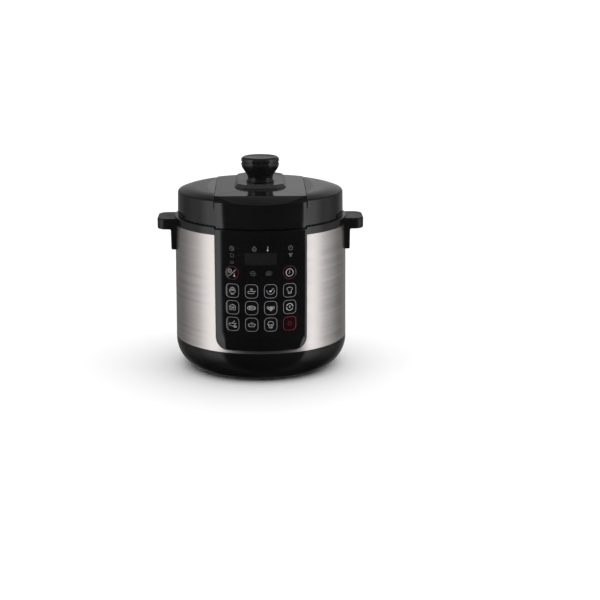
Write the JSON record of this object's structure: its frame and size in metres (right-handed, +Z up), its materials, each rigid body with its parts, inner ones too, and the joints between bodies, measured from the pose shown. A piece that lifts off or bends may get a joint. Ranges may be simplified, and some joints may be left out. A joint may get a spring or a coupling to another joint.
{
  "type": "electric pressure cooker",
  "caption": "Round countertop electric pressure cooker: steel wall, black base, collar, side handles and curved key panel, with a locking lid, knob, valves and a lift-out pot.",
  "frame": {"origin": "on the cooker's vertical axis, in the plane that its feet stand on", "axes": "+Z up, +X to the right of someone facing the control panel, which faces -Y"},
  "size_m": [0.3172, 0.268, 0.3264],
  "materials": {
    "black_gloss": "high gloss, black",
    "black_satin": "satin, black",
    "key_cap": "gloss, with printed symbols",
    "key_cap_red": "gloss dark red, with a printed symbol",
    "brushed_steel": "brushed around the body",
    "aluminium": "cast and turned",
    "bright_aluminium": "bright, pressed",
    "pot_coating": "dark grey non-stick coating",
    "silicone": "translucent white silicone",
    "foot_rubber": "matt black rubber",
    "zinc_steel": "plain bright steel",
    "display_glass": "smoked window",
    "display_grey": "plain moulded plastic",
    "circuit_board": "green solder mask",
    "switch_black": "plain moulded plastic",
    "lamp_red": "clear red light guide",
    "float_red": "red enamel",
    "element_sheath": "oxidised steel sheath",
    "fuse_ceramic": "white ceramic",
    "wire_red": "silicone-sleeved wire"
  },
  "bodies": {
    "housing": {"base_bowl": "black_gloss", "feet": "black_satin", "foot_pads": "foot_rubber", "foot_screws": "zinc_steel", "outer_wall": "brushed_steel", "collar": "black_gloss", "handle_left": "black_satin", "handle_right": "black_satin", "handle_screws": "zinc_steel", "panel_fascia": "black_gloss", "display_window": "display_glass", "display_module": "display_grey", "light_pipes": "lamp_red", "control_board": "circuit_board", "key_switches": "switch_black", "pressure_well": "aluminium", "reflector_sleeve": "bright_aluminium", "heating_plate": "aluminium", "heating_element": "element_sheath", "sensor_spring": "zinc_steel", "sensor_holder": "zinc_steel", "pressure_switch": "switch_black", "thermal_fuse": "fuse_ceramic", "power_board": "circuit_board", "mains_inlet": "black_satin", "inlet_screws": "zinc_steel", "wire_harness": "wire_red"},
    "temperature_sensor": {"temperature_sensor": "zinc_steel"},
    "pot": {"inner_pot": "pot_coating"},
    "lid": {"lid_cover": "black_gloss", "lid_band": "black_gloss", "lid_plinth": "black_satin", "inner_lid": "bright_aluminium", "sealing_ring": "silicone", "inner_lid_screws": "zinc_steel", "steam_pipe": "zinc_steel", "steam_filter": "bright_aluminium", "float_guide": "zinc_steel"},
    "knob": {"knob": "black_satin", "knob_spindle": "zinc_steel", "lock_ring": "zinc_steel", "spindle_nut": "zinc_steel"},
    "steam_valve": {"steam_valve": "black_satin"},
    "float_valve": {"float_pin": "float_red"},
    "key_sauce": {"key_sauce": "key_cap"},
    "key_bake": {"key_bake": "key_cap"},
    "key_cake": {"key_cake": "key_cap"},
    "key_power": {"key_power": "key_cap_red"},
    "key_steam": {"key_steam": "key_cap"},
    "key_fish": {"key_fish": "key_cap"},
    "key_grain": {"key_grain": "key_cap"},
    "key_reheat": {"key_reheat": "key_cap"},
    "key_rice": {"key_rice": "key_cap"},
    "key_fry": {"key_fry": "key_cap"},
    "key_soup": {"key_soup": "key_cap"},
    "key_chef": {"key_chef": "key_cap"},
    "key_mode": {"key_mode": "key_cap"},
    "key_minus": {"key_minus": "key_cap"},
    "key_plus": {"key_plus": "key_cap"},
    "key_timer": {"key_timer": "key_cap"}
  },
  "joints": [
    {"name": "pot_lift", "type": "slide", "parent": "housing", "child": "pot", "axis": [0, 0, 1], "range_m": [0, 0.2]},
    {"name": "lid_lift", "type": "slide", "parent": "pot", "child": "lid", "axis": [0, 0, 1], "range_m": [0, 0.15]},
    {"name": "knob_turn", "type": "hinge", "parent": "lid", "child": "knob", "pos_m": [0, 0, 0.3], "axis": [0, 0, 1], "range_deg": [-30, 0]},
    {"name": "steam_valve_turn", "type": "hinge", "parent": "lid", "child": "steam_valve", "pos_m": [0, 0.053, 0.29], "axis": [0, 0, 1], "range_deg": [0, 45]},
    {"name": "float_valve_rise", "type": "slide", "parent": "lid", "child": "float_valve", "axis": [0, 0, 1], "range_m": [0, 0.006]},
    {"name": "sensor_press", "type": "slide", "parent": "housing", "child": "temperature_sensor", "axis": [0, 0, 1], "range_m": [-0.003, 0], "stiffness_N_per_m": 400, "springref_m": 0.005, "deforming": ["sensor_spring"]},
    {"name": "key_sauce_press", "type": "slide", "parent": "housing", "child": "key_sauce", "axis": [0, 1, 0], "range_m": [0, 0.0006], "stiffness_N_per_m": 700, "springref_m": -0.0006},
    {"name": "key_bake_press", "type": "slide", "parent": "housing", "child": "key_bake", "axis": [0, 1, 0], "range_m": [0, 0.0006], "stiffness_N_per_m": 700, "springref_m": -0.0006},
    {"name": "key_cake_press", "type": "slide", "parent": "housing", "child": "key_cake", "axis": [0, 1, 0], "range_m": [0, 0.0006], "stiffness_N_per_m": 700, "springref_m": -0.0006},
    {"name": "key_power_press", "type": "slide", "parent": "housing", "child": "key_power", "axis": [0, 1, 0], "range_m": [0, 0.0006], "stiffness_N_per_m": 700, "springref_m": -0.0006},
    {"name": "key_steam_press", "type": "slide", "parent": "housing", "child": "key_steam", "axis": [0, 1, 0], "range_m": [0, 0.0006], "stiffness_N_per_m": 700, "springref_m": -0.0006},
    {"name": "key_fish_press", "type": "slide", "parent": "housing", "child": "key_fish", "axis": [0, 1, 0], "range_m": [0, 0.0006], "stiffness_N_per_m": 700, "springref_m": -0.0006},
    {"name": "key_grain_press", "type": "slide", "parent": "housing", "child": "key_grain", "axis": [0, 1, 0], "range_m": [0, 0.0006], "stiffness_N_per_m": 700, "springref_m": -0.0006},
    {"name": "key_reheat_press", "type": "slide", "parent": "housing", "child": "key_reheat", "axis": [0, 1, 0], "range_m": [0, 0.0006], "stiffness_N_per_m": 700, "springref_m": -0.0006},
    {"name": "key_rice_press", "type": "slide", "parent": "housing", "child": "key_rice", "axis": [0, 1, 0], "range_m": [0, 0.0006], "stiffness_N_per_m": 700, "springref_m": -0.0006},
    {"name": "key_fry_press", "type": "slide", "parent": "housing", "child": "key_fry", "axis": [0, 1, 0], "range_m": [0, 0.0006], "stiffness_N_per_m": 700, "springref_m": -0.0006},
    {"name": "key_soup_press", "type": "slide", "parent": "housing", "child": "key_soup", "axis": [0, 1, 0], "range_m": [0, 0.0006], "stiffness_N_per_m": 700, "springref_m": -0.0006},
    {"name": "key_chef_press", "type": "slide", "parent": "housing", "child": "key_chef", "axis": [0, 1, 0], "range_m": [0, 0.0006], "stiffness_N_per_m": 700, "springref_m": -0.0006},
    {"name": "key_mode_press", "type": "slide", "parent": "housing", "child": "key_mode", "axis": [0, 1, 0], "range_m": [0, 0.0006], "stiffness_N_per_m": 700, "springref_m": -0.0006},
    {"name": "key_minus_press", "type": "slide", "parent": "housing", "child": "key_minus", "axis": [0, 1, 0], "range_m": [0, 0.0006], "stiffness_N_per_m": 700, "springref_m": -0.0006},
    {"name": "key_plus_press", "type": "slide", "parent": "housing", "child": "key_plus", "axis": [0, 1, 0], "range_m": [0, 0.0006], "stiffness_N_per_m": 700, "springref_m": -0.0006},
    {"name": "key_timer_press", "type": "slide", "parent": "housing", "child": "key_timer", "axis": [0, 1, 0], "range_m": [0, 0.0006], "stiffness_N_per_m": 700, "springref_m": -0.0006}
  ]
}
